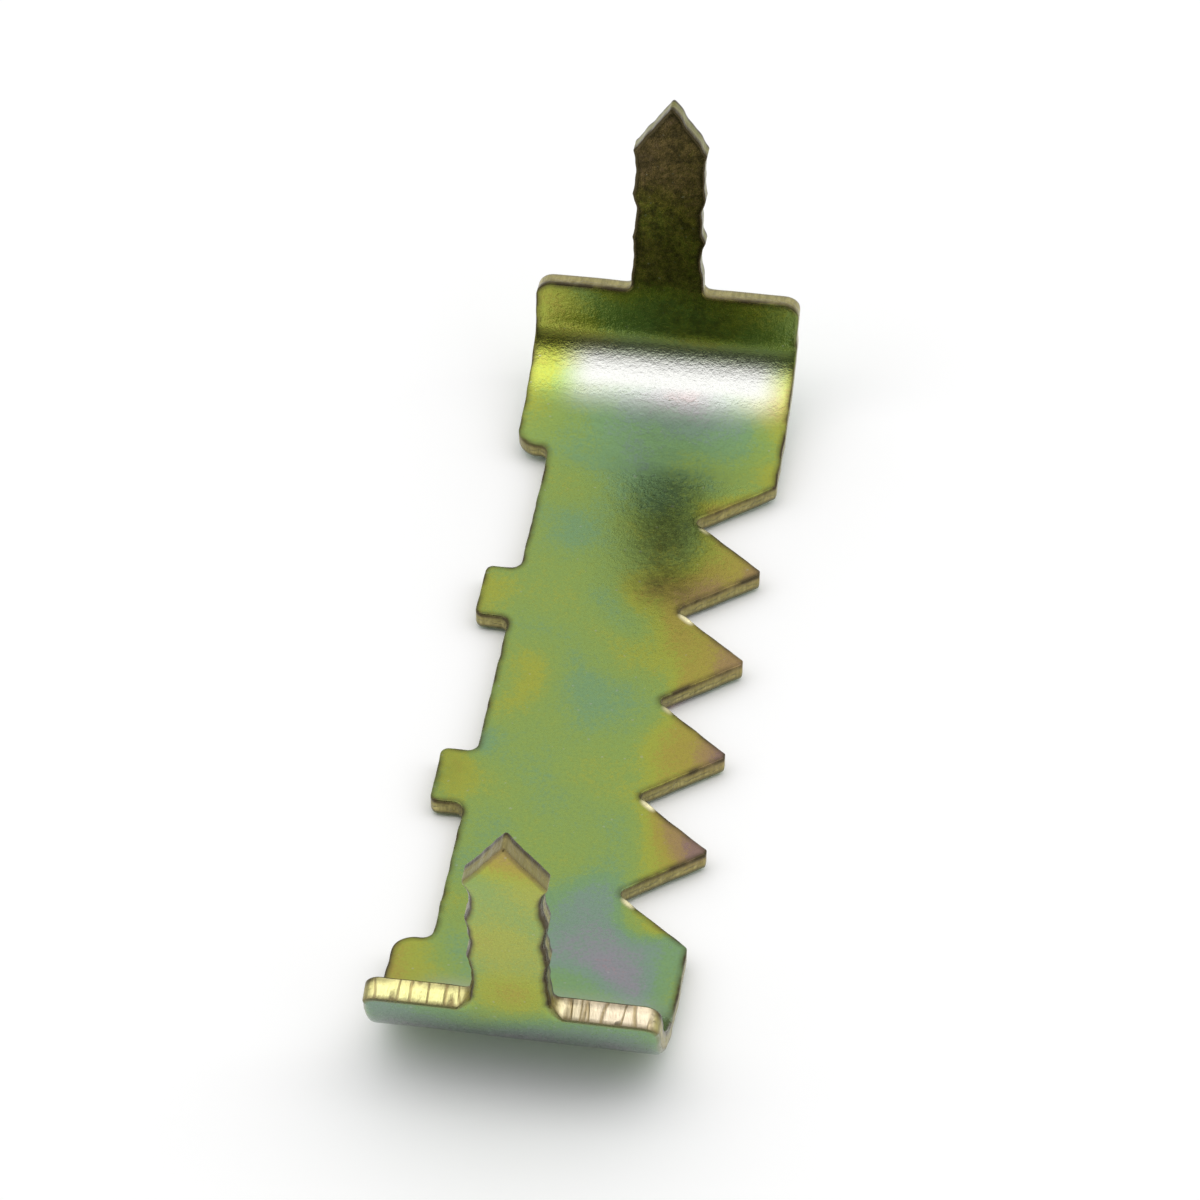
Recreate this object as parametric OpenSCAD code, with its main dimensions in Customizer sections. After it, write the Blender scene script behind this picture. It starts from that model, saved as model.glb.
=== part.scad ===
// Sawtooth picture hanger, stamped and bent from one strip of plated steel sheet.
// The strip lies on its front face with both spikes standing up. The origin is
// on the front face midway between the two ends, +X points to the toothed edge,
// +Y runs along the strip and +Z along the spikes. All sizes are in millimetres.

/* [Strip] */
// Width of the strip from the tooth tips to the back of the tabs
strip_w = 10; // [8:0.25:14]
// Thickness of the steel sheet
sheet_t = 0.8; // [0.6:0.05:1.2]

/* [Teeth] */
// Number of teeth along the hanging edge
tooth_count = 4; // [4:1:8]
// Distance from one tooth to the next
tooth_pitch = 4.8; // [4:0.1:6]
// Depth of the notches that the wall nail sits in
tooth_depth = 2.65; // [1.8:0.05:3.2]
// Width of the blunt end of each tooth
tooth_tip_w = 0.25; // [0.1:0.05:0.5]
// Radius at the bottom of each notch
notch_r = 0.25; // [0.1:0.05:0.5]

/* [Back edge] */
// Width of each tab on the back edge
tab_w = 2.65; // [1.5:0.05:3.2]
// Distance that the tabs and the shoulders stand out from the back edge
tab_depth = 1.25; // [0.8:0.05:2]
// Radius of the outer corners of each tab
tab_corner_r = 0.3; // [0.1:0.05:0.5]
// Radius of the inner corners beside the tabs and the shoulders
back_fillet_r = 0.35; // [0.1:0.05:0.5]
// Radius of the outer corner of each shoulder
shoulder_corner_r = 0.75; // [0.2:0.05:1]

/* [Curled ends] */
// Flat length from the last notch to the start of each curl
end_land = 2.45; // [1.5:0.05:5]
// Flat length from each shoulder to the start of each curl
shoulder_l = 1.65; // [1.2:0.05:3]
// Inside radius of each curl, which also sets how far the strip stands off the wood
curl_r = 3.5; // [2:0.1:6]
// Radius of the two corners at each curled end
end_corner_r = 0.6; // [0.2:0.05:1]

/* [Spikes] */
// Width of each spike
spike_w = 2.8; // [2:0.1:4]
// Length of each spike from the curled end to its point
spike_l = 8.4; // [6:0.1:14]
// Length of the tapered point of each spike
spike_point_l = 2.05; // [1:0.05:3]
// Radius in the two corners where each spike leaves the curled end
spike_root_r = 0.25; // [0.1:0.05:0.5]
// Number of scallops down each side of a spike, which bite in the wood
barb_count = 3; // [1:1:5]
// Depth of each scallop
barb_depth = 0.12; // [0.05:0.01:0.2]

/* [Hidden] */
$fn = 64;
plating = [0.56, 0.56, 0.33];
// Extra reach of every cut past the surface that it opens
cut_over = 1;
// Margin of a corner behind the two sides that it joins
lap = 0.2;

// The teeth, the lands and the curls add up to the length
flat_l = (tooth_count + 1) * tooth_pitch + 2 * end_land;
curl_outer_r = curl_r + sheet_t;
end_y = flat_l / 2 + curl_outer_r;
point_z = curl_outer_r + spike_l;
edge_x = strip_w / 2;
back_x = -edge_x + tab_depth;

// Each notch is a V whose sides run into the round at its bottom, just short of its edge
notch_reach = tooth_depth - notch_r;
notch_half_w = (tooth_pitch - tooth_tip_w) / 2;
notch_side_r = 0.95 * notch_r;
notch_side_a = atan2(notch_half_w, notch_reach) + acos(notch_side_r / norm([notch_reach, notch_half_w]));
notch_side_end = notch_side_r * [cos(notch_side_a), sin(notch_side_a)];

// Each tab stands opposite the last notch but one
tab_y = (tooth_count / 2 - 1) * tooth_pitch;
shoulder_y = flat_l / 2 - shoulder_l;
// No outer round on the back edge runs down into the fillet below it
tab_round_r = min(tab_corner_r, tab_depth - back_fillet_r);
shoulder_round_r = min(shoulder_corner_r, tab_depth - back_fillet_r);

// The scallops fill the sides of a spike between its root and its point
shank_l = spike_l - spike_point_l - 2 * spike_root_r;
barb_l = shank_l / barb_count;
barb_r = (pow(barb_l / 2, 2) + pow(barb_depth, 2)) / (2 * barb_depth);

hanger();

// The sliver between a square corner at the origin and a round of radius r set in it,
// with a margin behind the corner
module corner(r, behind = lap) {
  difference() {
    translate([-behind, -behind]) square(r + behind);
    translate([r, r]) circle(r = r);
  }
}

// One nail notch, the round at its bottom centred on the origin and its mouth towards +X
module notch() {
  circle(r = notch_r);
  polygon([
    [notch_reach + cut_over, notch_half_w],
    [notch_reach, notch_half_w],
    [notch_side_end[0], notch_side_end[1]],
    [notch_side_end[0], -notch_side_end[1]],
    [notch_reach, -notch_half_w],
    [notch_reach + cut_over, -notch_half_w]
  ]);
}

// The row of notches that leaves the teeth standing between them
module notch_row() {
  for (i = [0 : tooth_count])
    translate([edge_x - notch_reach, (i - tooth_count / 2) * tooth_pitch]) notch();
}

// The back edge set in between the two shoulders, with the tabs left standing
module back_pockets() {
  difference() {
    translate([-edge_x - cut_over, -shoulder_y])
      square([tab_depth + cut_over, 2 * shoulder_y]);
    for (side = [-1, 1])
      translate([-edge_x - 2 * cut_over, side * tab_y - tab_w / 2])
        square([tab_depth + 3 * cut_over, tab_w]);
  }
}

// The fillet where the back edge meets a wall at y that faces +Y (way 1) or -Y (way -1)
module wall_fillet(y, way) {
  translate([back_x, y])
    scale([-1, way]) corner(back_fillet_r);
}

// The round on the outer corner of such a wall
module wall_round(y, way, r) {
  translate([-edge_x, y])
    scale([1, -way]) corner(r);
}

// The three wall fillets on the +Y half of the back edge
module back_fillets() {
  wall_fillet(tab_y - tab_w / 2, -1);
  wall_fillet(tab_y + tab_w / 2, 1);
  wall_fillet(shoulder_y, -1);
}

// The three outer rounds on the +Y half of the back edge
module back_rounds() {
  wall_round(tab_y - tab_w / 2, -1, tab_round_r);
  wall_round(tab_y + tab_w / 2, 1, tab_round_r);
  wall_round(shoulder_y, -1, shoulder_round_r);
}

// Everything punched out of the strip, the notches on one edge and the pockets on the other
module punched_outline() {
  notch_row();
  difference() {
    back_pockets();
    back_fillets();
    mirror([0, 1]) back_fillets();
  }
  back_rounds();
  mirror([0, 1]) back_rounds();
}

// A block reaching from z up to top_z, with its two lower corners rounded
module bend_outline(half_l, z, r, top_z) {
  difference() {
    translate([-half_l, z]) square([2 * half_l, top_z - z]);
    for (side = [0, 1])
      mirror([side, 0])
        translate([-half_l, z]) corner(r);
  }
}

// Side view of the sheet, bent up at both ends, with its legs running on past the spikes
module side_outline() {
  difference() {
    bend_outline(end_y, 0, curl_outer_r, point_z + cut_over);
    bend_outline(end_y - sheet_t, sheet_t, curl_r, point_z + 2 * cut_over);
  }
}

// Outline of a spike with its root on the X axis and its point towards +Y
module spike_outline() {
  difference() {
    polygon([
      [-spike_w / 2, -lap],
      [spike_w / 2, -lap],
      [spike_w / 2, spike_l - spike_point_l],
      [0, spike_l],
      [-spike_w / 2, spike_l - spike_point_l]
    ]);
    for (side = [-1, 1], i = [0 : barb_count - 1])
      translate([
        side * (spike_w / 2 + barb_r - barb_depth),
        2 * spike_root_r + (i + 0.5) * barb_l
      ])
        circle(r = barb_r);
  }
  for (side = [0, 1])
    mirror([side, 0])
      translate([spike_w / 2, 0]) corner(spike_root_r);
}

// End view of the strip with its two free corners rounded and a spike standing on it
module end_outline() {
  difference() {
    translate([-edge_x, -cut_over]) square([strip_w, curl_outer_r + cut_over]);
    for (side = [0, 1])
      mirror([side, 0])
        translate([edge_x, curl_outer_r])
          rotate(180) corner(end_corner_r);
  }
  translate([0, curl_outer_r]) spike_outline();
}

// The whole hanger, one piece of sheet, trimmed to its end view and punched through
module hanger() {
  color(plating)
    difference() {
      intersection() {
        rotate([90, 0, 90])
          linear_extrude(strip_w + 2 * cut_over, center = true) side_outline();
        rotate([90, 0, 0])
          linear_extrude(2 * (end_y + cut_over), center = true) end_outline();
      }
      translate([0, 0, -cut_over])
        linear_extrude(sheet_t + 2 * cut_over) punched_outline();
    }
}
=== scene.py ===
import math

import bpy
import numpy as np
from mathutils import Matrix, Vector
from mathutils.geometry import delaunay_2d_cdt


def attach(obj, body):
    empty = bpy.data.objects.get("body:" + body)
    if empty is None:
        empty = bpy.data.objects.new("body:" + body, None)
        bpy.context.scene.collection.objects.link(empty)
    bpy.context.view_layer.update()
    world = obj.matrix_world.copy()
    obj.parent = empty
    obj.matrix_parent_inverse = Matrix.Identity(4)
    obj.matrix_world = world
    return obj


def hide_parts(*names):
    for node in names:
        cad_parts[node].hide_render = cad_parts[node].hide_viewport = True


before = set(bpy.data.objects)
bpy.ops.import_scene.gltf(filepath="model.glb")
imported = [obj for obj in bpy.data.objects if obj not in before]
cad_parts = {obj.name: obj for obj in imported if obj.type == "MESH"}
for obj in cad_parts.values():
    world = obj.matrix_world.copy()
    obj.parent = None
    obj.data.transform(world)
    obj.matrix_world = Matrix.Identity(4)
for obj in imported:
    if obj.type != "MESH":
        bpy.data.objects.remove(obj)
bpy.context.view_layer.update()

MM = 0.001

# Sizes of the part, in millimetres, as in its source
STRIP_W = 10.0
SHEET_T = 0.8
TOOTH_COUNT = 4
TOOTH_PITCH = 4.8
TOOTH_DEPTH = 2.65
TOOTH_TIP_W = 0.25
NOTCH_R = 0.25
TAB_W = 2.65
TAB_DEPTH = 1.25
TAB_CORNER_R = 0.3
BACK_FILLET_R = 0.35
SHOULDER_CORNER_R = 0.75
END_LAND = 2.45
SHOULDER_L = 1.65
CURL_R = 3.5
END_CORNER_R = 0.6
SPIKE_W = 2.8
SPIKE_L = 8.4
SPIKE_POINT_L = 2.05
SPIKE_ROOT_R = 0.25
BARB_COUNT = 3
BARB_DEPTH = 0.12

# What follows from them on the flat blank: x across the strip, v along the middle of the sheet
EDGE_X = STRIP_W / 2
BACK_X = TAB_DEPTH - EDGE_X
FLAT_HALF = (TOOTH_COUNT + 1) * TOOTH_PITCH / 2 + END_LAND
CURL_MID_R = CURL_R + SHEET_T / 2
ROOT_V = FLAT_HALF + CURL_MID_R * math.pi / 2
TIP_V = ROOT_V + SPIKE_L
SHANK_END_V = TIP_V - SPIKE_POINT_L
TAB_V = (TOOTH_COUNT / 2 - 1) * TOOTH_PITCH
SHOULDER_V = FLAT_HALF - SHOULDER_L

# How the punch left the outline, in millimetres
TOOTH_TIP_R = 0.09
LAND_CORNER_R = 0.18
SPIKE_TIP_R = 0.12
SHANK_END_R = 0.12
BARB_CREST_R = 0.05
BARB_DEPTH_SPREAD = (0.75, 1.5)
BARB_SHIFT = 0.12
BARB_PIECES = 10
UNEVEN = 0.012
UNEVEN_WAVES = (14, 0.7, 3.0)
SPIKE_UNEVEN = 0.02
SPIKE_UNEVEN_WAVES = (10, 0.5, 1.4)
SPIKE_UNEVEN_FROM = (ROOT_V + 0.3, ROOT_V + 1.2)

# How it left the edges: rolled on the front face, sharp on the inner face, and ridged beside each notch
ROLL_R = 0.26
POINT_ROLL_R = 0.12
END_ROLL_R = 0.07
BURR_R = 0.05
# The ridges beside the notches, which carry a painted highlight too: height, width, half-size, place
# across, distance before each notch, and strength by notch from the -y end
GLINT_H = 0.085
GLINT_W = 0.14
GLINT_HALF = 0.36
GLINT_X = 2.7
GLINT_BEFORE_NOTCH = 0.42
GLINTS = (0.7, 0.9, 0.5, 1.0, 0.5)
END_BEVEL = {-1: 0.29, 1: 0.10}
BEVEL_REACH = 0.45

# Painted shade along the edges as a dark lip: its width, and its strength on the rings of the cut wall from
# front to inner
LIP_W = 0.15
WALL_LIP = (0.0, 0.0, 0.1, 0.5)

# Distances from the outline where the dark line of painted shade on the rolled edge starts and is full
ROLLED_SHADE_LINE = (0.14, 0.04)

# The bend of the -y end (-1) and of the +y end (1) as (distance past the flat part, slope in degrees)
BEND = {
    -1: ((-4.5, 0.0), (0.0, 7.0), (0.4, 7.5)),
    1: ((-4.5, 0.0), (0.0, 9.5), (0.5, 10.5), (2.8, 34.0), (3.5, 45.0), (4.2, 80.0)),
}

# The length that it is smoothed over, the lean of the spikes, and the sheet's slight swell and crease
BEND_SOFT = 0.4
LEAN = {-1: math.radians(5.0), 1: math.radians(4.5)}
SWELL = 0.018
SWELL_WAVES = (8, 5.0, 12.0)
SWELL_SEED = 41
SWELL_OFF_TIP = 0.6
CREASE_DEPTH = 0.02
CREASE_BEFORE_ROOT = 2.0
CREASE_HALF = 0.35

# Mesh density, in millimetres, and the share of its distance that a ring keeps from the outline
OUTLINE_STEP = 0.13
CORNER_STEP = 0.6 * OUTLINE_STEP
CORNER_PIECES = 4
NEARLY_STRAIGHT = math.radians(89)
FACE_STEP = 0.42
CURL_STEP = 0.18
CURL_MARGIN = 0.5
RING_CLEAR = 0.96
BEND_SAMPLES = 3000
BEND_PAST_TIP = 1.0
TRIANGULATION_GAP = 1e-5

# Distances from the outline where each face has a ring of points, and where its grid starts
ROLL_RINGS = [ROLL_R * (1 - math.cos(math.radians(a))) for a in (25, 45, 65, 90)] + [ROLL_R + 0.1]
BURR_RINGS = [BURR_R * 0.3, BURR_R, BURR_R + 0.07, BURR_R + 0.2]
FRONT_GRID_FROM = ROLL_R + 0.25
INNER_GRID_FROM = BURR_R + 0.4

SEED = 7


def waves(seed, count, shortest, longest):
    """A smooth field of two coordinates, mostly between -1 and 1, made of waves of seeded direction."""
    rng = np.random.default_rng(seed)
    turn = rng.uniform(0, 2 * math.pi, count)
    length = np.exp(rng.uniform(math.log(shortest), math.log(longest), count))
    phase = rng.uniform(0, 2 * math.pi, count)

    def field(x, v):
        total = np.zeros(np.broadcast(x, v).shape)
        for a, l, p in zip(turn, length, phase):
            total += np.sin((np.cos(a) * x + np.sin(a) * v) * 2 * math.pi / l + p)
        return total / math.sqrt(count)

    return field


def step(zero_at, one_at, value):
    """0 on one side of zero_at, 1 past one_at, which may be the lower, and smooth between."""
    t = np.clip((value - zero_at) / (one_at - zero_at), 0, 1)
    return t * t * (3 - 2 * t)


def patch(x, v, at_x, at_v, half_x, half_v):
    """A soft round patch on the blank, 1 in its middle."""
    return np.exp(-((x - at_x) / half_x) ** 2 - ((v - at_v) / half_v) ** 2)


# Outline of the flat blank

def round_corners(corners):
    """The closed outline through corners (x, v, radius), each of them rounded, as an array of points."""
    out = []
    count = len(corners)
    for i, (x, v, r) in enumerate(corners):
        here = np.array((x, v))
        before = np.array(corners[i - 1][:2]) - here
        after = np.array(corners[(i + 1) % count][:2]) - here
        before /= np.linalg.norm(before)
        after /= np.linalg.norm(after)
        half = math.acos(max(-1.0, min(1.0, float(before @ after)))) / 2
        if r <= 0 or half > NEARLY_STRAIGHT:
            out.append(here)
            continue
        middle = (before + after) / np.linalg.norm(before + after)
        centre = here + middle * r / math.sin(half)
        reach = r / math.tan(half)
        start, end = here + before * reach - centre, here + after * reach - centre
        a0, a1 = math.atan2(start[1], start[0]), math.atan2(end[1], end[0])
        sweep = (a1 - a0 + math.pi) % (2 * math.pi) - math.pi
        pieces = max(CORNER_PIECES, math.ceil(abs(sweep) * r / CORNER_STEP))
        for k in range(pieces + 1):
            a = a0 + sweep * k / pieces
            out.append(centre + r * np.array((math.cos(a), math.sin(a))))
    return np.array(out)


def fill_in(points):
    """The same closed outline with no step longer than OUTLINE_STEP."""
    out = []
    for a, b in zip(points, np.roll(points, -1, axis=0)):
        pieces = max(1, math.ceil(np.linalg.norm(b - a) / OUTLINE_STEP))
        out.extend(a + (b - a) * k / pieces for k in range(pieces))
    return np.array(out)


def tooth_edge():
    """Corners of the toothed edge, from the -v end to the +v end."""
    half_w = (TOOTH_PITCH - TOOTH_TIP_W) / 2
    reach = TOOTH_DEPTH - NOTCH_R
    slope = math.atan2(half_w, reach) - math.asin(NOTCH_R / math.hypot(half_w, reach))
    bottom_x = EDGE_X - reach - NOTCH_R / math.sin(slope)
    corners = []
    for i in range(TOOTH_COUNT + 1):
        v = (i - TOOTH_COUNT / 2) * TOOTH_PITCH
        first, last = i == 0, i == TOOTH_COUNT
        corners.append((EDGE_X, v - half_w, LAND_CORNER_R if first else TOOTH_TIP_R))
        corners.append((bottom_x, v, NOTCH_R))
        corners.append((EDGE_X, v + half_w, LAND_CORNER_R if last else TOOTH_TIP_R))
    return corners


def spike_side(way, rng):
    """Corners up the +x side of a spike that points to +v (way 1) or -v (way -1), root first."""
    half = SPIKE_W / 2
    corners = [(half, way * ROOT_V, SPIKE_ROOT_R)]
    low = ROOT_V + 2 * SPIKE_ROOT_R
    barb_l = (SHANK_END_V - low) / BARB_COUNT
    for i in range(BARB_COUNT):
        depth = BARB_DEPTH * rng.uniform(*BARB_DEPTH_SPREAD)
        shift = rng.uniform(-BARB_SHIFT, BARB_SHIFT)
        for k in range(1, BARB_PIECES):
            t = k / BARB_PIECES
            bow = 4 * t * (1 - t)
            v = low + barb_l * (i + t) + shift * bow
            corners.append((half - depth * bow, way * v, 0))
        if i < BARB_COUNT - 1:
            corners.append((half, way * (low + barb_l * (i + 1)), BARB_CREST_R))
    corners.append((half, way * SHANK_END_V, SHANK_END_R))
    return corners


def end_corners(way, rng):
    """Corners round one curled end, from its +x side to its -x side for way 1, the other way for way -1."""
    right = [(EDGE_X, way * ROOT_V, END_CORNER_R), *spike_side(way, rng)]
    left = [(-x, v, r) for x, v, r in [(EDGE_X, way * ROOT_V, END_CORNER_R), *spike_side(way, rng)]]
    corners = [*right, (0.0, way * TIP_V, SPIKE_TIP_R), *reversed(left)]
    return corners if way > 0 else corners[::-1]


def back_edge():
    """Corners of the back edge with its two tabs, from the +v end to the -v end."""
    half = [(-EDGE_X, SHOULDER_V, SHOULDER_CORNER_R), (BACK_X, SHOULDER_V, BACK_FILLET_R)]
    for v in (TAB_V + TAB_W / 2, TAB_V - TAB_W / 2):
        pair = [(BACK_X, v, BACK_FILLET_R), (-EDGE_X, v, TAB_CORNER_R)]
        half += pair if v > TAB_V else pair[::-1]
    return half + [(x, -v, r) for x, v, r in reversed(half)]


def blank_outline():
    """Outline of the flat blank with the small unevenness that punching leaves, anticlockwise."""
    rng = np.random.default_rng(SEED)
    corners = [*tooth_edge(), *end_corners(1, rng), *back_edge(), *end_corners(-1, rng)]
    points = fill_in(round_corners(corners))
    x, v = points[:, 0], points[:, 1]
    ahead = np.roll(points, -1, axis=0) - np.roll(points, 1, axis=0)
    outward = np.stack((ahead[:, 1], -ahead[:, 0]), axis=1)
    outward /= np.linalg.norm(outward, axis=1)[:, None]
    uneven = UNEVEN * waves(SEED + 1, *UNEVEN_WAVES)(x, v)
    on_shank = step(*SPIKE_UNEVEN_FROM, np.abs(v))
    uneven = uneven - UNEVEN + on_shank * SPIKE_UNEVEN * waves(SEED + 2, *SPIKE_UNEVEN_WAVES)(x, v)
    return points + outward * uneven[:, None]


# The two faces of the sheet

def distance_to(outline, points):
    """Distance of each point from the outline, worked out a few hundred points at a time."""
    at_once = 400
    along = np.roll(outline, -1, axis=0) - outline
    length2 = (along ** 2).sum(1)
    best = np.full(len(points), np.inf)
    for start in range(0, len(points), at_once):
        p = points[start:start + at_once, None, :]
        t = np.clip(((p - outline) * along).sum(2) / length2, 0, 1)
        gap = p - (outline + t[:, :, None] * along)
        best[start:start + at_once] = np.sqrt((gap ** 2).sum(2).min(1))
    return best


def inside(outline, points):
    """True for each point inside the outline."""
    found = np.zeros(len(points), bool)
    for (ax, av), (bx, bv) in zip(outline, np.roll(outline, -1, axis=0)):
        crosses = (av > points[:, 1]) != (bv > points[:, 1])
        if av != bv:
            found ^= crosses & (points[:, 0] < (bx - ax) * (points[:, 1] - av) / (bv - av) + ax)
    return found


def inner_points(outline, rings, keep_off):
    """Points inside the outline: rings at the given distances from it, then a grid that keeps off it."""
    ahead = np.roll(outline, -1, axis=0) - np.roll(outline, 1, axis=0)
    inward = np.stack((-ahead[:, 1], ahead[:, 0]), axis=1)
    inward /= np.linalg.norm(inward, axis=1)[:, None]
    found = []
    for d in rings:
        ring = outline + inward * d
        clear = inside(outline, ring) & (distance_to(outline, ring) > RING_CLEAR * d)
        found.append(ring[clear])
    rows, v = [], -TIP_V
    while v < TIP_V:
        in_curl = FLAT_HALF - CURL_MARGIN < abs(v) < ROOT_V + CURL_MARGIN
        v += CURL_STEP if in_curl else FACE_STEP
        x = np.arange(-EDGE_X, EDGE_X, FACE_STEP) + (len(rows) % 2) * FACE_STEP / 2
        rows.append(np.stack((x, np.full(len(x), v)), axis=1))
    grid = np.concatenate(rows)
    grid = grid[inside(outline, grid)]
    grid = grid[distance_to(outline, grid) > keep_off]
    return np.concatenate([*found, grid])


def triangulate(outline, points):
    """Triangles over the outline and the points in it: all points, the outline's first, and the faces."""
    every = np.concatenate([outline, points])
    ring = list(range(len(outline)))
    flat = [Vector((float(x), float(v))) for x, v in every]
    verts, _, faces, origin, _, _ = delaunay_2d_cdt(flat, [], [ring], 1, TRIANGULATION_GAP)
    if len(verts) != len(every) or any(o[0] != i for i, o in enumerate(origin)):
        raise RuntimeError("the triangulation moved or joined points of the blank")
    return every, [tuple(f) for f in faces]


def sheet_face(outline, rings, grid_from):
    """One face of the sheet: its points, its triangles and each point's distance from the outline."""
    points, faces = triangulate(outline, inner_points(outline, rings, grid_from))
    from_edge = distance_to(outline, points)
    from_edge[:len(outline)] = 0.0
    return points, faces, from_edge


# Where things lie on the blank: each starts at its first place and is full at its second

POINT_FROM = (SHANK_END_V - 0.6, SHANK_END_V + 0.2)
BESIDE_SPIKE_FROM = (SPIKE_W / 2, SPIKE_W / 2 + 0.4)
SPIKE_FROM = (ROOT_V, ROOT_V + 0.5)
LAND_TO = ROOT_V + 0.3
END_ROLL_FROM = (ROOT_V - 0.7, ROOT_V - 0.3)
END_FACE_FROM = (ROOT_V - 0.5, ROOT_V - 0.32)
END_FACE_TO_X = (EDGE_X - 0.1, EDGE_X - 0.5)


def on_point(v):
    """1 on the tapered point of a spike and 0 below it."""
    return step(*POINT_FROM, np.abs(v))


def beside_spike(x):
    """1 beside the root of a spike and 0 under it."""
    return step(*BESIDE_SPIKE_FROM, np.abs(x))


def on_land(x, v):
    """1 on the bare end of the strip beside a spike, 0 under the spike and on it."""
    return beside_spike(x) * (np.abs(v) < LAND_TO)


def on_spike(v):
    """1 on a spike and 0 on the strip."""
    return step(*SPIKE_FROM, np.abs(v))


def glints(x, v):
    """Where the edge beside the bottom of each notch rises into a small ridge that catches the lamp, and
    where a highlight is painted on it.
    """
    bright = np.zeros(len(x))
    for i, strength in enumerate(GLINTS):
        at_v = (i - TOOTH_COUNT / 2) * TOOTH_PITCH - GLINT_BEFORE_NOTCH
        bright = np.maximum(bright, strength * patch(x, v, GLINT_X, at_v, GLINT_HALF, GLINT_HALF))
    return bright


# The edges and the bend

def quarter_round(d, r):
    """How far a face has dropped at distance d from an edge that is rounded off by r."""
    t = np.clip(1 - d / r, 0, 1)
    return r * (1 - np.sqrt(1 - t * t))


def front_drop(points, from_edge):
    """How far the rolled edge of the front face drops, less on the points and on the curled ends."""
    run = np.abs(points[:, 1])
    on_end = step(*END_ROLL_FROM, run) * beside_spike(points[:, 0])
    roll_r = ROLL_R + (POINT_ROLL_R - ROLL_R) * on_point(run) + (END_ROLL_R - ROLL_R) * on_end
    return quarter_round(from_edge, roll_r)


def inner_drop(points, from_edge):
    """How far the edge of the inner face drops, with a small ridge beside each notch."""
    ridge = GLINT_H * glints(points[:, 0], points[:, 1]) * np.clip(1 - from_edge / GLINT_W, 0, 1)
    return quarter_round(from_edge, BURR_R) - ridge


def bevel_pull(x, v, height):
    """How far the sheared end beside each spike is drawn back towards the front face."""
    bevel = np.where(v > 0, END_BEVEL[1], END_BEVEL[-1])
    pull = bevel * (1 - height / SHEET_T) * np.exp(-np.clip(ROOT_V - np.abs(v), 0, None) / BEVEL_REACH)
    return np.sign(v) * pull * on_land(x, v)


def swell(x, v):
    """A slight unevenness of the whole sheet, away from the tips."""
    off_tip = step(0.0, SWELL_OFF_TIP, TIP_V - np.abs(v))
    return SWELL * waves(SWELL_SEED, *SWELL_WAVES)(x, v) * off_tip


def crease(v, height):
    """The depth of the faint crease across the inside of each curl."""
    on_crease = np.exp(-((np.abs(v) - ROOT_V + CREASE_BEFORE_ROOT) / CREASE_HALF) ** 2)
    return CREASE_DEPTH * on_crease * (height > SHEET_T / 2)


def bent_line(way):
    """Run, slope, y and z of the sheet's mid-line, from the middle of the strip past a spike's point."""
    run = np.linspace(0, TIP_V + BEND_PAST_TIP, BEND_SAMPLES)
    at = [FLAT_HALF + past for past, _ in BEND[way]] + [ROOT_V]
    turn = [math.radians(degrees) for _, degrees in BEND[way]] + [math.pi / 2 - LEAN[way]]
    half = round(BEND_SOFT / run[1] / 2)
    slope = np.pad(np.interp(run, at, turn), half, mode="edge")
    slope = np.convolve(slope, np.full(2 * half + 1, 1 / (2 * half + 1)), mode="valid")
    middle = (slope[1:] + slope[:-1]) / 2
    y = np.concatenate(([0], np.cumsum(np.cos(middle)))) * run[1]
    z = np.concatenate(([0], np.cumsum(np.sin(middle)))) * run[1] + SHEET_T / 2
    return run, slope, y, z


def bend(x, v, n):
    """Places points of the blank, n above the front face, on the hanger with its ends curled up."""
    place = np.zeros((len(x), 3))
    place[:, 0] = x
    for way in (-1, 1):
        here = (v >= 0) == (way > 0)
        run, slope, y, z = bent_line(way)
        far = np.abs(v[here])
        tilt = np.interp(far, run, slope)
        lift = n[here] - SHEET_T / 2
        place[here, 1] = way * (np.interp(far, run, y) - lift * np.sin(tilt))
        place[here, 2] = np.interp(far, run, z) + lift * np.cos(tilt)
    return place


# The film of plating, thin at 0 and thick at 1, which gives the metal its colour

# Its thickness on each face, how far it varies, and how far its patches wander across and along the sheet
INNER_FILM = 0.655
INNER_VARIES = 0.022
INNER_WANDER = (0.30, 0.45)
INNER_SEED = 21
FRONT_FILM = 0.60
FRONT_VARIES = 0.025
FRONT_WANDER = (0.55, 0.9)
FRONT_SEED = 31

# Its waves as (how many, shortest, longest)
FILM_WAVES = (8, 2.5, 8.0)
INNER_WAVES = (6, 4.0, 9.0)
FRONT_WAVES_X = (7, 2.5, 7.0)
FRONT_WAVES_V = (7, 3.0, 8.0)

# Patches of the inner face's film: change, middle x, middle v, half width and half length
INNER_PATCHES = (
    (-0.16, 0.7, 14.6, 3.0, 2.2),
    (-0.10, 1.0, 16.0, 2.2, 0.6),
    (-0.05, -1.0, 10.5, 1.8, 2.4),
    (0.08, 5.0, 13.0, 1.2, 3.0),
    (0.05, -4.8, 14.2, 1.2, 1.6),
    (0.12, -4.4, 16.9, 1.2, 1.3),
    (0.12, 4.8, 16.5, 0.9, 1.3),
    (0.13, 1.7, 5.8, 1.3, 1.4),
    (0.09, 2.2, 2.9, 1.0, 1.2),
    (0.08, -2.7, 0.0, 0.9, 1.9),
    (0.10, -4.6, 4.8, 1.0, 1.4),
    (0.11, -4.7, -4.8, 1.0, 1.2),
    (-0.06, -3.4, -3.0, 0.8, 1.0),
    (-0.03, 0.0, 0.6, 1.9, 2.4),
    (0.04, 2.2, -3.2, 1.0, 1.0),
    (0.06, 3.8, -7.3, 1.0, 1.2),
    (0.04, 4.3, -2.5, 0.8, 1.0),
    (0.05, 4.7, -13.2, 0.8, 1.8),
    (-0.08, 1.0, -9.9, 1.2, 1.0),
    (0.12, -4.6, -14.2, 1.3, 1.6),
    (0.09, -4.0, 19.4, 1.7, 1.8),
    (0.06, 2.6, 19.4, 2.4, 1.5),
)
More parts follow.
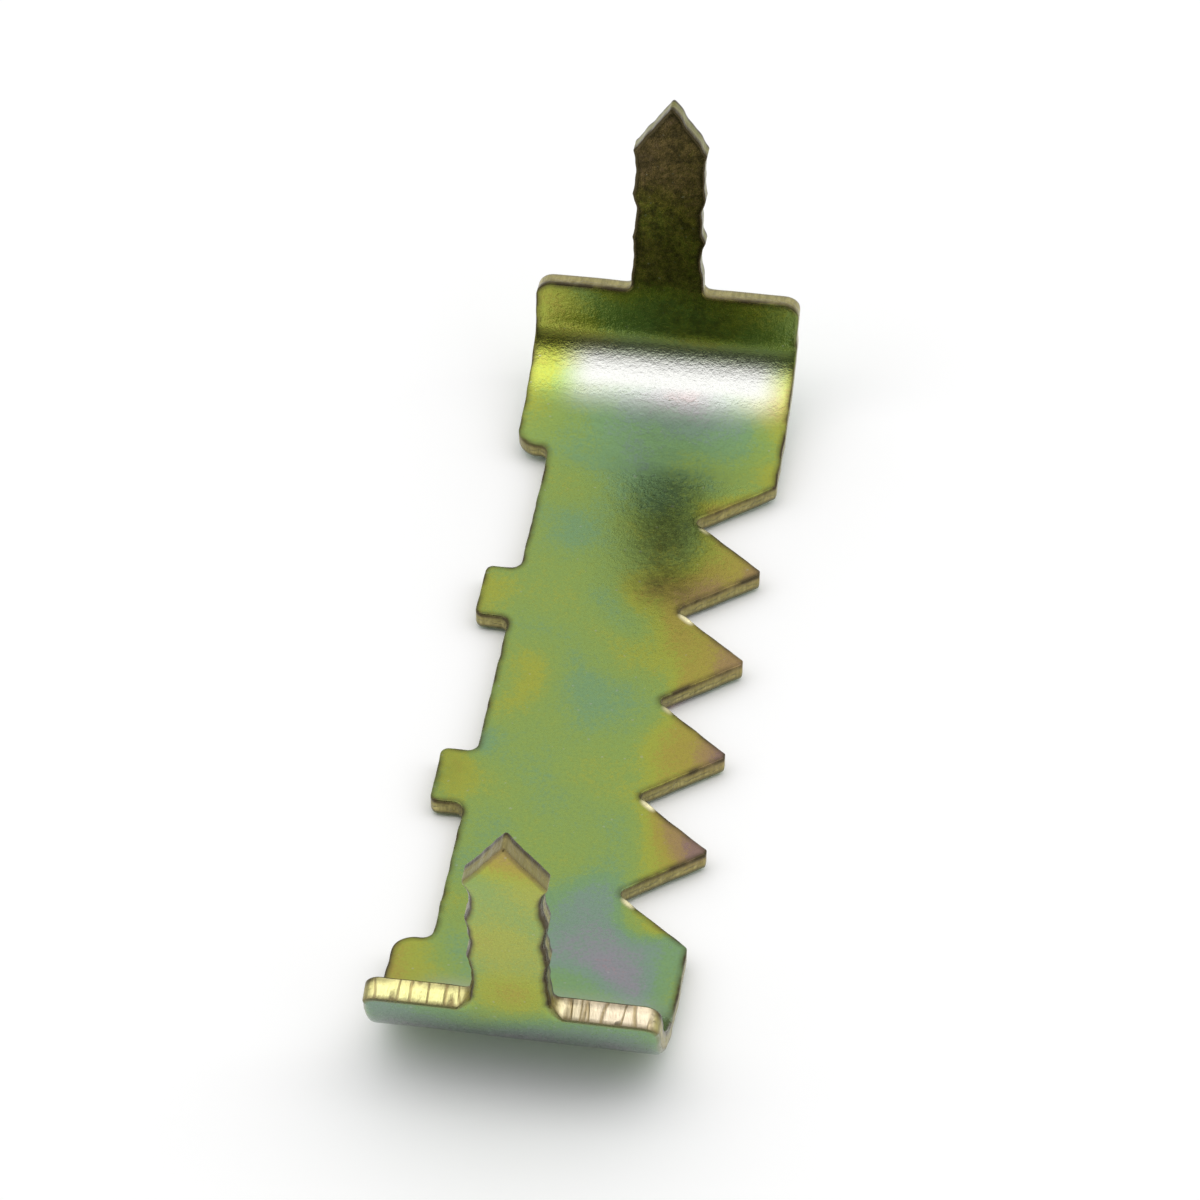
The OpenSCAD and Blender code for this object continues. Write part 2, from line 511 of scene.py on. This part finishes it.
# The violet patch by the notch nearest the -y end, and the v where it breaks off
VIOLET_PATCH = (-0.21, 2.5, -12.5, 3.0, 3.0)
VIOLET_ENDS = (-8.2, -9.4)

# Where that film thickens, as (change, from, to): up the spikes, and across the teeth, which end at a v
SPIKE_GROWTH = ((0.16, 19.8, 21.5), (0.12, 24.5, 27.0))
TOOTH_GROWTH = ((0.16, 1.8, 3.3), (0.16, 3.3, 5.0))
TEETH_END = (11.6, 10.6)

# The same for the front face: the long golden patch, the wavy ones, the smooth ones round its -y end
GOLDEN_PATCH = (-0.38, 0.5, 2.5, 2.4, 9.5)
FRONT_WAVY_PATCHES = (
    (-0.12, -0.5, 16.0, 3.5, 2.2),
    (0.22, -3.4, 18.8, 1.6, 1.6),
    (-0.12, 0.0, 24.0, 2.4, 4.0),
)
FRONT_PATCHES = (
    (-0.15, 0.0, -18.3, 8.0, 1.5),
    (0.15, 0.0, -20.9, 1.6, 1.3),
)
FRONT_SPIKE_GROWTH = ((0.10, 20.5, 23.0), (0.17, 27.0, 28.6))


def patches(x, v, table):
    """The sum of a table's patches at each point."""
    return sum(change * patch(x, v, *place) for change, *place in table)


def growth(along, table):
    """The sum of a table's smooth steps along a coordinate."""
    return sum(change * step(low, high, along) for change, low, high in table)


def inner_film(x, v):
    """Film on the inner face, which looks at the wood, thicker on the teeth and on the spikes."""
    x = x + INNER_WANDER[0] * waves(INNER_SEED, *INNER_WAVES)(x, v)
    v = v + INNER_WANDER[1] * waves(INNER_SEED + 1, *INNER_WAVES)(x, v)
    film = INNER_FILM + INNER_VARIES * waves(INNER_SEED + 2, *FILM_WAVES)(x, v)
    film = film + patches(x, v, INNER_PATCHES)
    film = film + patches(x, v, [VIOLET_PATCH]) * step(*VIOLET_ENDS, v)
    film = film + growth(np.abs(v), SPIKE_GROWTH)
    return film + step(*TEETH_END, np.abs(v)) * growth(x, TOOTH_GROWTH)


def front_film(x, v):
    """Film on the front face, which looks away from the wood, thin along its middle."""
    wavy_x = x + FRONT_WANDER[0] * waves(FRONT_SEED, *FRONT_WAVES_X)(x, v)
    wavy_v = v + FRONT_WANDER[1] * waves(FRONT_SEED + 1, *FRONT_WAVES_V)(x, v)
    film = FRONT_FILM + FRONT_VARIES * waves(FRONT_SEED + 2, *FILM_WAVES)(x, v)
    change, at_x, at_v, half_x, half_v = GOLDEN_PATCH
    film = film + change * np.exp(-((wavy_x - at_x) / half_x) ** 2 - ((wavy_v - at_v) / half_v) ** 4)
    film = film + patches(wavy_x, wavy_v, FRONT_WAVY_PATCHES)
    film = film + patches(x, v, FRONT_PATCHES)
    return film + growth(-v, FRONT_SPIKE_GROWTH)


# Where the plating is worn or matt, and where highlights and dark reflections are painted, by places on the
# blank in millimetres

# The pale band inside each curl, a painted highlight where the lamp's highlight falls, the paler sheet that
# rises to it, which is painted light too, and where the curl was rubbed smooth
HIGHLIGHT_BAND_V = FLAT_HALF + 0.60 * CURL_MID_R
HIGHLIGHT_BAND_HALF = 1.05
HIGHLIGHT_BAND_X = 0.5
HIGHLIGHT_BAND_HALF_X = (4.7, 3.0)
RISE_PALENESS = 0.70
RISE_STARTS = (14.3, 16.0)
RISE_ENDS = (HIGHLIGHT_BAND_V + 0.4, HIGHLIGHT_BAND_V)
SMOOTH_FROM = (FLAT_HALF + 0.2, FLAT_HALF + 1.4)
SMOOTH_TO = (ROOT_V - 0.4, ROOT_V - 1.6)

# The front of the -y spike, the painted dark reflection round its curl, and the matt part of the strip
FRONT_PALENESS = 0.06
FRONT_PALE_FROM = (21.8, 23.0)
FRONT_PALE_TO = (27.8, 26.6)
FRONT_DARK_REFLECTION = 0.38
FRONT_DARK_REFLECTION_V = -18.2
FRONT_DARK_REFLECTION_HALF = 1.4
SATIN_FROM = (11.4, 13.0)
SATIN_TO = (16.2, 15.2)

# Dark places on the inner face as (strength, middle x, middle v, half width, half length): the first two a
# painted dark reflection of the +y spike in the strip, the last a stain by a tab
STAINS_AND_DARK_REFLECTIONS = ((0.70, 1.4, 8.2, 1.3, 2.0), (0.65, 1.6, 5.9, 1.2, 1.0), (0.25, -4.6, -4.7, 0.9, 1.2))

# Painted dark reflection on the inner face of the flanges and the spikes
FLANGE_DARK_REFLECTION = 0.80
FLANGE_FROM = (ROOT_V - 2.8, ROOT_V - 1.6)
FLANGE_X = 1.0
FLANGE_HALF_X = 2.6
SPIKE_DARK_REFLECTION_FROM = (ROOT_V - 0.6, ROOT_V + 0.6)

# Share of the sheet's thickness where its inner face starts, and its front face
INNER_FROM = (0.6, 0.95)
FRONT_FROM = (0.4, 0.05)


def highlight_paleness(x, v):
    """Painted highlight: a pale colour inside each curl where the lamp's highlight band falls, and more
    weakly just before it.
    """
    across = step(*HIGHLIGHT_BAND_HALF_X, np.abs(x - HIGHLIGHT_BAND_X))
    run = np.abs(v)
    band = np.exp(-((run - HIGHLIGHT_BAND_V) / HIGHLIGHT_BAND_HALF) ** 4)
    rise = RISE_PALENESS * step(*RISE_STARTS, run) * step(*RISE_ENDS, run)
    return across * np.maximum(band, rise)


def front_paleness(v):
    """The front of the -y spike, where the film is a little thinner."""
    return FRONT_PALENESS * step(*FRONT_PALE_FROM, -v) * step(*FRONT_PALE_TO, -v)


def rubbing(v):
    """Where the inside of each curl was rubbed smooth as it was bent."""
    run = np.abs(v)
    return step(*SMOOTH_FROM, run) * step(*SMOOTH_TO, run)


def satin(v):
    """Where the strip starts to rise and the bending tool left it matt."""
    run = np.abs(v)
    return step(*SATIN_FROM, run) * step(*SATIN_TO, run)


def inner_stain_and_dark_reflection(x, v):
    """Where the inner face is painted darker and speckled: a painted dark reflection by a notch, on the
    flanges and on the spikes, and a stain on a tab.
    """
    run = np.abs(v)
    flange = FLANGE_DARK_REFLECTION * step(*FLANGE_FROM, run) * np.exp(-((x - FLANGE_X) / FLANGE_HALF_X) ** 2)
    spike = step(*SPIKE_DARK_REFLECTION_FROM, run)
    return np.clip(patches(x, v, STAINS_AND_DARK_REFLECTIONS) + np.maximum(flange, spike), 0, 1)


def front_dark_reflection(v):
    """Painted dark reflection on the front face round the outside of the -y curl, where it mirrors the
    floor's shadow.
    """
    return FRONT_DARK_REFLECTION * np.exp(-((v - FRONT_DARK_REFLECTION_V) / FRONT_DARK_REFLECTION_HALF) ** 2)


# The mesh of the hanger

def sheet_faces(front_faces, inner_faces, first_inner, rings, count):
    """Faces of both sides and of the cut wall, whose rings of count points start at the given numbers."""
    faces = [tuple(reversed(f)) for f in front_faces]
    faces += [tuple(i + first_inner for i in f) for f in inner_faces]
    for low, high in zip(rings, rings[1:]):
        for i in range(count):
            j = (i + 1) % count
            faces.append((low + i, low + j, high + j, high + i))
    return faces


def colour_fields(x, v, height, edge):
    """The fields that colour the sheet and follow from a point's place on it."""
    share = height / SHEET_T
    inner, front = step(*INNER_FROM, share), step(*FRONT_FROM, share)
    in_corners = step(*END_FACE_TO_X, np.abs(x))
    return {
        "film": front_film(x, v) * (1 - share) + inner_film(x, v) * share,
        # pale: the painted highlight inside the curls, and the thinner film on the front of the -y spike
        "pale": highlight_paleness(x, v) * inner + front_paleness(v) * front,
        # Painted dark reflection, with one real stain by a tab
        "dark_stain_and_reflection": inner_stain_and_dark_reflection(x, v) * inner + front_dark_reflection(v) * front,
        "rub": rubbing(v) * inner,
        "satin": satin(v) * inner,
        "spike": on_spike(v),
        "edge": edge,
        # Where the highlight on the end beside the -y spike is painted
        "end_face": edge * on_land(x, v) * step(*END_FACE_FROM, -v) * in_corners,
        # Where the highlight beside the notches is painted
        "glint": glints(x, v) * inner,
    }


def front_lip(points, from_edge):
    """The painted shade along the edge of the front face: along the spikes only, but not round the point of
    the -y one.
    """
    v = points[:, 1]
    plain_point = np.where(v < 0, 1 - on_point(v), 1)
    return np.exp(-from_edge / LIP_W) * on_spike(v) * plain_point


def hanger_mesh():
    """The bent sheet with rolled front edges and sharp inner edges, and the fields that colour it."""
    outline = blank_outline()
    count = len(outline)
    front, front_faces, front_d = sheet_face(outline, ROLL_RINGS, FRONT_GRID_FROM)
    inner, inner_faces, inner_d = sheet_face(outline, BURR_RINGS, INNER_GRID_FROM)
    low, high = front_drop(front, front_d), SHEET_T - inner_drop(inner, inner_d)
    wall_low, wall_high = low[:count], high[:count]
    wall_shares = np.linspace(0, 1, len(WALL_LIP) + 2)[1:-1]
    flat = np.concatenate([front, inner, *[outline] * len(WALL_LIP)])
    height = np.concatenate([low, high, *[wall_low + (wall_high - wall_low) * k for k in wall_shares]])
    first_wall = len(front) + len(inner)
    rings = [0, *[first_wall + k * count for k in range(len(WALL_LIP))], len(front)]
    faces = sheet_faces(front_faces, inner_faces, len(front), rings, count)

    x, v = flat[:, 0], flat[:, 1]
    v = v - bevel_pull(x, v, height)
    place = bend(x, v, np.maximum(height + swell(x, v) - crease(v, height), 0.0))

    along = np.concatenate(([0], np.cumsum(np.linalg.norm(np.diff(outline, axis=0), axis=1))))
    rim, edge = np.zeros(len(flat)), np.zeros(len(flat))
    for ring in rings:
        rim[ring:ring + count] = along
        edge[ring:ring + count] = 1.0
    # Nearness to the edges, for the painted shade along them
    lips = [front_lip(front, front_d), np.exp(-inner_d / LIP_W), np.repeat(WALL_LIP, count)]
    fields = colour_fields(x, v, height, edge)
    fields["lip"] = np.concatenate(lips)
    # Where the painted shade on the rolled edge goes
    fields["rolled"] = np.concatenate([step(*ROLLED_SHADE_LINE, front_d), np.zeros(len(flat) - len(front))])
    vectors = {
        "blank": np.stack((x, v, height), axis=1),
        "rim": np.stack((rim, height, np.zeros(len(flat))), axis=1),
    }
    return place, faces, fields, vectors


def make_hanger():
    """The hanger as one object with its colouring fields."""
    place, faces, fields, vectors = hanger_mesh()
    mesh = bpy.data.meshes.new("sawtooth_hanger")
    mesh.from_pydata((place * MM).tolist(), [], faces)
    for name, values in fields.items():
        mesh.attributes.new(name, "FLOAT", "POINT").data.foreach_set("value", values.astype(np.float32))
    for name, values in vectors.items():
        data = mesh.attributes.new(name, "FLOAT_VECTOR", "POINT").data
        data.foreach_set("vector", values.astype(np.float32).ravel())
    mesh.shade_smooth()
    mesh.update()
    hanger = bpy.data.objects.new("sawtooth_hanger", mesh)
    bpy.context.scene.collection.objects.link(hanger)
    return hanger


# The material

FILM_COLOURS = [
    (0.00, (0.70, 0.67, 0.54)),
    (0.12, (0.72, 0.63, 0.25)),
    (0.22, (0.62, 0.44, 0.085)),
    (0.31, (0.54, 0.30, 0.11)),
    (0.38, (0.435, 0.26, 0.28)),
    (0.45, (0.296, 0.294, 0.317)),
    (0.52, (0.231, 0.338, 0.253)),
    (0.58, (0.222, 0.374, 0.172)),
    (0.66, (0.287, 0.405, 0.104)),
    (0.74, (0.388, 0.427, 0.068)),
    (0.82, (0.416, 0.350, 0.068)),
    (0.91, (0.388, 0.268, 0.109)),
    (1.00, (0.305, 0.196, 0.163)),
]
# The colour of the flecks, and of the painted highlight inside each curl
SILVER = (0.50, 0.50, 0.48, 1)
SHEARED = (0.56, 0.47, 0.20, 1)
SHEARED_DARK = (0.21, 0.16, 0.06, 1)
SPIKE_WALL = (0.17, 0.165, 0.065, 1)
# Pale colours of the painted highlight on the end beside the -y spike
END_HIGHLIGHT = (0.93, 0.86, 0.39, 1)
ROSY_END_HIGHLIGHT = (0.92, 0.76, 0.58, 1)
CRACK = (0.34, 0.22, 0.10, 1)
# Colour of the painted shade along the edges
LIP_SHADE = (0.07, 0.055, 0.025, 1)
# Colour of the painted highlight on the ridges beside the notches
GLINT = (0.82, 0.75, 0.45, 1)
# Colour of the painted shade on the front face's rolled edge
ROLLED_SHADE = (0.20, 0.16, 0.07, 1)
# Dark colour of the specks and of the painted dark reflection
DARK_SPECK_AND_REFLECTION = (0.045, 0.038, 0.018, 1)

# Noises as (scale, detail, roughness), on the blank in millimetres, or along its rim and up its wall
CLOUD = (0.55, 3.0, 0.55)
GRAIN = (7.0, 3.0, 0.7)
SPECK = (11.0, 1.0, 0.5)
MOTTLE = (3.0, 4.0, 0.65)
FLECK = (5.0, 0.0, 0.5)
# Noise that breaks the painted shade along the edges into patches
PATCHY_LIP_SHADE = (1.1, 3.0, 0.5)
BROAD = (1.6, 2.0, 0.5)
STREAK = (1.0, 4.0, 0.7)
STREAK_STRETCH = (6.0, 0.9, 1.0)
RAGGED = (1.0, 3.0, 0.6)
RAGGED_STRETCH = (2.2, 2.2, 1.0)
TEAR = (1.0, 1.0, 0.5)
TEAR_STRETCH = (1.7, 0.30, 1.0)

# Where each layer starts and is full: by its noise, by its field, or across the strip in millimetres
CLOUD_SPAN = (0.25, 0.75)
NOISE_SPAN = (0.3, 0.7)
SPECK_SPAN = (0.52, 0.36)
MOTTLE_SPAN = (0.65, 0.35)
FLECK_SPAN = (0.80, 0.84)
# Where the patchy painted shade along the edges starts and is full
PATCHY_LIP_SHADE_SPAN = (0.35, 0.6)
CRACK_SPAN = (0.045, 0.010)
EDGE_SPAN = (0.35, 0.9)
LIP_SPAN = (0.15, 0.75)
BRIGHT_LIP_SPAN = (0.2, 0.5)
GLINT_SPAN = (0.2, 0.6)
ROSY_X = (-2.0, 3.0)

# How much each layer covers of the colour beneath, and how strong the painted shade of the lip is on an end
# and on a spike
SPECK_COVERS = (0.08, 0.45)
MOTTLE_COVERS = (0.45, 0.90)
# How much the patchy painted shade along the edges covers
PATCHY_LIP_SHADE_COVERS = (0.45, 1.0)
FLECK_COVERS = 0.25
LIP_ON_END = 0.7
LIP_ON_SPIKE = 1.8
TORN_COVERS = 0.85
BROKEN_COVERS = 0.45
SPIKE_WALL_COVERS = 0.75
CRACK_COVERS = 0.8
ROLLED_SHADE_COVERS = 0.7

# Height on the wall, in millimetres, where the sheet broke off, and how raggedly
BREAK = (0.40, 0.52)
BREAK_RAGGED = 0.16

# How far the film varies, and how rough the metal is
CLOUDY = 0.03
GRAINY = 0.03
ROUGHNESS = (0.22, 0.30)
RUBBED_SMOOTHER = 0.08
EDGE_ROUGHER = 0.08
SATIN_ROUGHER = 0.16
COAT = 0.10
COAT_ROUGHNESS = 0.12

# The relief as (strength, depth in metres), and how much coarser the grain is where it was rubbed
FINE_RELIEF = (0.4, 0.00002)
BROAD_RELIEF = (0.15, 0.00006)
TORN_RELIEF = (0.7, 0.00007)
RUBBED_COARSER = 2.2
CRACK_DEPTH = 0.5


class Nodes:
    """Short calls for building a node tree."""

    def __init__(self, tree):
        self.tree = tree

    def add(self, kind, **settings):
        node = self.tree.nodes.new(kind)
        for name, value in settings.items():
            setattr(node, name, value)
        return node

    def link(self, source, target):
        self.tree.links.new(source, target)

    def field(self, name, output="Fac"):
        return self.add("ShaderNodeAttribute", attribute_name=name).outputs[output]

    def noise(self, vector, scale, detail, roughness):
        node = self.add("ShaderNodeTexNoise")
        self.link(vector, node.inputs["Vector"])
        node.inputs["Scale"].default_value = scale
        node.inputs["Detail"].default_value = detail
        node.inputs["Roughness"].default_value = roughness
        return node.outputs["Fac"]

    def stretch(self, vector, scale):
        node = self.add("ShaderNodeMapping", vector_type="POINT")
        self.link(vector, node.inputs["Vector"])
        node.inputs["Scale"].default_value = scale
        return node.outputs["Vector"]

    def split(self, vector):
        node = self.add("ShaderNodeSeparateXYZ")
        self.link(vector, node.inputs["Vector"])
        return node.outputs

    def span(self, value, low, high, to_low=0.0, to_high=1.0):
        node = self.add("ShaderNodeMapRange", clamp=True)
        self.link(value, node.inputs["Value"])
        for name, number in zip(("From Min", "From Max", "To Min", "To Max"), (low, high, to_low, to_high)):
            node.inputs[name].default_value = number
        return node.outputs["Result"]

    def between(self, share, at_zero, at_one):
        return self.span(share, 0.0, 1.0, at_zero, at_one)

    def calc(self, operation, *values):
        node = self.add("ShaderNodeMath", operation=operation)
        for socket, value in zip(node.inputs, values):
            if isinstance(value, (int, float)):
                socket.default_value = value
            else:
                self.link(value, socket)
        return node.outputs[0]

    def mix(self, factor, a, b):
        node = self.add("ShaderNodeMix", data_type="RGBA", blend_type="MIX")
        self.link(factor, node.inputs["Factor"])
        colour_a = [s for s in node.inputs if s.name == "A" and s.type == "RGBA"][0]
        colour_b = [s for s in node.inputs if s.name == "B" and s.type == "RGBA"][0]
        for socket, value in ((colour_a, a), (colour_b, b)):
            if isinstance(value, tuple):
                socket.default_value = value
            else:
                self.link(value, socket)
        return [s for s in node.outputs if s.type == "RGBA"][0]

    def ramp(self, value, stops):
        node = self.add("ShaderNodeValToRGB")
        ramp = node.color_ramp
        ramp.interpolation = "EASE"
        while len(ramp.elements) < len(stops):
            ramp.elements.new(0.5)
        for element, (at, colour) in zip(ramp.elements, stops):
            element.position = at
            element.color = (*colour, 1)
        self.link(value, node.inputs["Fac"])
        return node.outputs["Color"]

    def bump(self, height, strength, distance, normal=None):
        node = self.add("ShaderNodeBump")
        self.link(height, node.inputs["Height"])
        node.inputs["Strength"].default_value = strength
        node.inputs["Distance"].default_value = distance
        if normal is not None:
            self.link(normal, node.inputs["Normal"])
        return node.outputs["Normal"]


def film_colour(n, blank, grain):
    """The colour of the film, a little cloudy and grainy."""
    cloud = n.noise(blank, *CLOUD)
    film = n.calc("ADD", n.field("film"), n.span(cloud, *CLOUD_SPAN, -CLOUDY, CLOUDY))
    film = n.calc("ADD", film, n.span(grain, *NOISE_SPAN, -GRAINY, GRAINY))
    return n.ramp(film, FILM_COLOURS)


def specks_and_painted_light(n, colour, blank):
    """A colour with its specks and flecks, darkened where dark reflection is painted and by a stain, and
    paler where a highlight is painted and where the film is thinner.
    """
    dark_stain_and_reflection = n.field("dark_stain_and_reflection")
    speck = n.span(n.noise(blank, *SPECK), *SPECK_SPAN)
    dark_speck = n.calc("MULTIPLY", speck, n.between(dark_stain_and_reflection, *SPECK_COVERS))
    mottle = n.span(n.noise(blank, *MOTTLE), *MOTTLE_SPAN, *MOTTLE_COVERS)
    # Mottled painted dark reflection and stain, with the specks, in that dark colour
    colour = n.mix(n.calc("MAXIMUM", dark_speck, n.calc("MULTIPLY", dark_stain_and_reflection, mottle)), colour, DARK_SPECK_AND_REFLECTION)
    fleck = n.span(n.noise(blank, *FLECK), *FLECK_SPAN, 0.0, FLECK_COVERS)
    return n.mix(n.calc("MAXIMUM", n.field("pale"), fleck), colour, SILVER)


def torn_edge(n, blank, rim, end_face, spike):
    """The sheared wall, with a painted highlight as a pale colour on the end beside the -y spike: its
    colour, its relief and its cracks.
    """
    streaks = n.noise(n.stretch(rim, STREAK_STRETCH), *STREAK)
    ragged = n.noise(n.stretch(rim, RAGGED_STRETCH), *RAGGED)
    depth = n.calc("ADD", n.split(rim)["Y"], n.span(ragged, *NOISE_SPAN, -BREAK_RAGGED, BREAK_RAGGED))
    broken = n.calc("MULTIPLY", n.span(depth, *BREAK), n.between(end_face, 1.0, 0.0))
    colour = n.mix(n.span(streaks, *NOISE_SPAN), SHEARED_DARK, SHEARED)
    colour = n.mix(n.calc("MULTIPLY", broken, BROKEN_COVERS), colour, SHEARED_DARK)
    colour = n.mix(n.calc("MULTIPLY", spike, SPIKE_WALL_COVERS), colour, SPIKE_WALL)

    end_highlight = n.mix(n.span(n.split(blank)["X"], *ROSY_X), END_HIGHLIGHT, ROSY_END_HIGHLIGHT)
    tear = n.noise(n.stretch(rim, TEAR_STRETCH), *TEAR)
    off_crack = n.calc("ABSOLUTE", n.calc("SUBTRACT", tear, 0.5))
    crack = n.calc("MULTIPLY", end_face, n.span(off_crack, *CRACK_SPAN))
    # Painted highlight on the end beside the -y spike, with its cracks
    colour = n.mix(end_face, colour, end_highlight)
    colour = n.mix(n.calc("MULTIPLY", crack, CRACK_COVERS), colour, CRACK)
    return colour, n.calc("ADD", streaks, n.calc("MULTIPLY", ragged, broken)), crack


def outlined(n, colour, blank, end_face, spike):
    """A colour with painted shade as dark lines along the edges and on the rolled edge, and painted
    highlights beside the notches.
    """
    # Painted shade on the front face's rolled edge
    colour = n.mix(n.calc("MULTIPLY", n.field("rolled"), ROLLED_SHADE_COVERS), colour, ROLLED_SHADE)
    lip = n.field("lip")
    # Painted shade along the edges, broken into patches
    patchy_lip_shade = n.span(n.noise(blank, *PATCHY_LIP_SHADE), *PATCHY_LIP_SHADE_SPAN, *PATCHY_LIP_SHADE_COVERS)
    line = n.calc("MULTIPLY", n.span(lip, *LIP_SPAN), patchy_lip_shade)
    line = n.calc("MULTIPLY", line, n.between(end_face, 1.0, LIP_ON_END))
    line = n.calc("MINIMUM", n.calc("MULTIPLY", line, n.between(spike, 1.0, LIP_ON_SPIKE)), 1.0)
    colour = n.mix(line, colour, LIP_SHADE)
    # Painted highlight on the ridges beside the notches
    bright = n.calc("MULTIPLY", n.span(lip, *BRIGHT_LIP_SPAN), n.span(n.field("glint"), *GLINT_SPAN))
    return n.mix(bright, colour, GLINT)


def plated_steel():
    """Yellow zinc plating, coloured by the thickness of its film, with sheared edges."""
    material = bpy.data.materials.new("yellow_zinc_plate")
    material.use_nodes = True
    n = Nodes(material.node_tree)
    shader = material.node_tree.nodes["Principled BSDF"]
    blank = n.field("blank", "Vector")
    rim = n.field("rim", "Vector")
    edge = n.span(n.field("edge"), *EDGE_SPAN)
    end_face, spike, rub = n.field("end_face"), n.field("spike"), n.field("rub")
    grain = n.noise(blank, *GRAIN)

    colour = specks_and_painted_light(n, film_colour(n, blank, grain), blank)
    torn, torn_relief, crack = torn_edge(n, blank, rim, end_face, spike)
    colour = n.mix(n.calc("MULTIPLY", edge, TORN_COVERS), colour, torn)
    colour = outlined(n, colour, blank, end_face, spike)
    n.link(colour, shader.inputs["Base Color"])

    rough = n.span(grain, *NOISE_SPAN, *ROUGHNESS)
    rough = n.calc("SUBTRACT", rough, n.between(rub, 0.0, RUBBED_SMOOTHER))
    rough = n.calc("ADD", rough, n.between(edge, 0.0, EDGE_ROUGHER))
    rough = n.calc("ADD", rough, n.between(n.field("satin"), 0.0, SATIN_ROUGHER))
    n.link(rough, shader.inputs["Roughness"])

    coarser = n.between(rub, 1.0, RUBBED_COARSER)
    fine = n.bump(n.calc("MULTIPLY", grain, coarser), *FINE_RELIEF)
    broad = n.bump(n.noise(blank, *BROAD), *BROAD_RELIEF, fine)
    cracks = n.calc("MULTIPLY", crack, CRACK_DEPTH)
    tears = n.calc("SUBTRACT", n.calc("MULTIPLY", torn_relief, edge), cracks)
    n.link(n.bump(tears, *TORN_RELIEF, broad), shader.inputs["Normal"])

    shader.inputs["Metallic"].default_value = 1.0
    shader.inputs["Coat Weight"].default_value = COAT
    shader.inputs["Coat Roughness"].default_value = COAT_ROUGHNESS
    return material


# The stage, in metres, with the camera's lens and sensor in millimetres

CAMERA_AT = Vector((0.0214, -0.1394, 0.1386))
CAMERA_AIM = Vector((0.0, 0.001, 0.0045))
CAMERA_LENS = 165.0
CAMERA_SENSOR = 36.0
CAMERA_NEAREST = 0.01
FLOOR_COLOUR = (0.99, 0.99, 0.99, 1)
FLOOR_ROUGHNESS = 0.9
FLOOR_SHINE = 0.1
FLOOR_HALF = 3.0
FLOOR_GAP = 0.00002

# The sky's levels, and where it turns: brighter overhead, dark behind the camera, less dark low down
SKY = 0.86
SKY_OVERHEAD = 1.07
SKY_LOW = 0.36
SKY_BEHIND_CAMERA = 0.03
OVERHEAD_Z = (0.80, 0.97)
BEHIND_Y = (-0.36, -0.54)
BEHIND_HALF_X = (0.65, 0.45)
LOW_Y = (-0.82, -0.70)

# The lamp, with its elevation in degrees, counted from the camera's side
KEY_RADIANCE = 1.10
KEY_SIZE = (2.0, 0.25)
KEY_DISTANCE = 0.5
KEY_ELEVATION = 91.0


def make_floor(z):
    """A plain pale floor under the hanger."""
    corners = [(-1, -1), (1, -1), (1, 1), (-1, 1)]
    mesh = bpy.data.meshes.new("floor")
    mesh.from_pydata([(x * FLOOR_HALF, y * FLOOR_HALF, z) for x, y in corners], [], [(0, 1, 2, 3)])
    floor = bpy.data.objects.new("floor", mesh)
    material = bpy.data.materials.new("pale_floor")
    material.use_nodes = True
    shader = material.node_tree.nodes["Principled BSDF"]
    shader.inputs["Base Color"].default_value = FLOOR_COLOUR
    shader.inputs["Roughness"].default_value = FLOOR_ROUGHNESS
    shader.inputs["Specular IOR Level"].default_value = FLOOR_SHINE
    mesh.materials.append(material)
    bpy.context.scene.collection.objects.link(floor)


def make_sky():
    """Even pale light from all round, brighter overhead, with a dark part over the camera's side."""
    world = bpy.data.worlds.new("studio")
    bpy.context.scene.world = world
    world.use_nodes = True
    n = Nodes(world.node_tree)
    background = world.node_tree.nodes["Background"]
    towards = n.split(n.add("ShaderNodeTexCoord").outputs["Generated"])
    light = n.span(towards["Z"], *OVERHEAD_Z, SKY, SKY_OVERHEAD)
    in_line = n.span(n.calc("ABSOLUTE", towards["X"]), *BEHIND_HALF_X)
    behind = n.calc("MULTIPLY", n.span(towards["Y"], *BEHIND_Y), in_line)
    kept = n.span(towards["Y"], *LOW_Y, SKY_LOW / SKY, SKY_BEHIND_CAMERA / SKY)
    shade = n.calc("MULTIPLY", behind, n.calc("SUBTRACT", 1.0, kept))
    light = n.calc("MULTIPLY", light, n.calc("SUBTRACT", 1.0, shade))
    n.link(light, background.inputs["Strength"])
    background.inputs["Color"].default_value = (1, 1, 1, 1)


def make_key():
    """A broad soft lamp overhead."""
    lamp = bpy.data.lights.new("key", "AREA")
    lamp.shape = "RECTANGLE"
    lamp.size, lamp.size_y = KEY_SIZE
    lamp.energy = KEY_RADIANCE * KEY_SIZE[0] * KEY_SIZE[1] * math.pi
    key = bpy.data.objects.new("key", lamp)
    side = Vector((CAMERA_AT.x, CAMERA_AT.y, 0)).normalized()
    lift = math.radians(KEY_ELEVATION)
    key.location = (side * math.cos(lift) + Vector((0, 0, math.sin(lift)))) * KEY_DISTANCE
    key.rotation_euler = (-key.location).to_track_quat("-Z", "Y").to_euler()
    bpy.context.scene.collection.objects.link(key)


def make_camera():
    """The camera where the photograph's stood, turned to the hanger."""
    data = bpy.data.cameras.new("camera")
    data.lens = CAMERA_LENS
    data.sensor_width = CAMERA_SENSOR
    data.clip_start = CAMERA_NEAREST
    camera = bpy.data.objects.new("camera", data)
    camera.location = CAMERA_AT
    camera.rotation_euler = (CAMERA_AIM - CAMERA_AT).to_track_quat("-Z", "Y").to_euler()
    bpy.context.scene.collection.objects.link(camera)
    bpy.context.scene.camera = camera


bpy.context.scene.view_settings.view_transform = "Standard"
hanger = make_hanger()
hanger.data.materials.append(plated_steel())
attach(hanger, "root")
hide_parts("hanger")
lowest = min(vertex.co.z for vertex in hanger.data.vertices)
make_floor(lowest - FLOOR_GAP)
make_sky()
make_key()
make_camera()
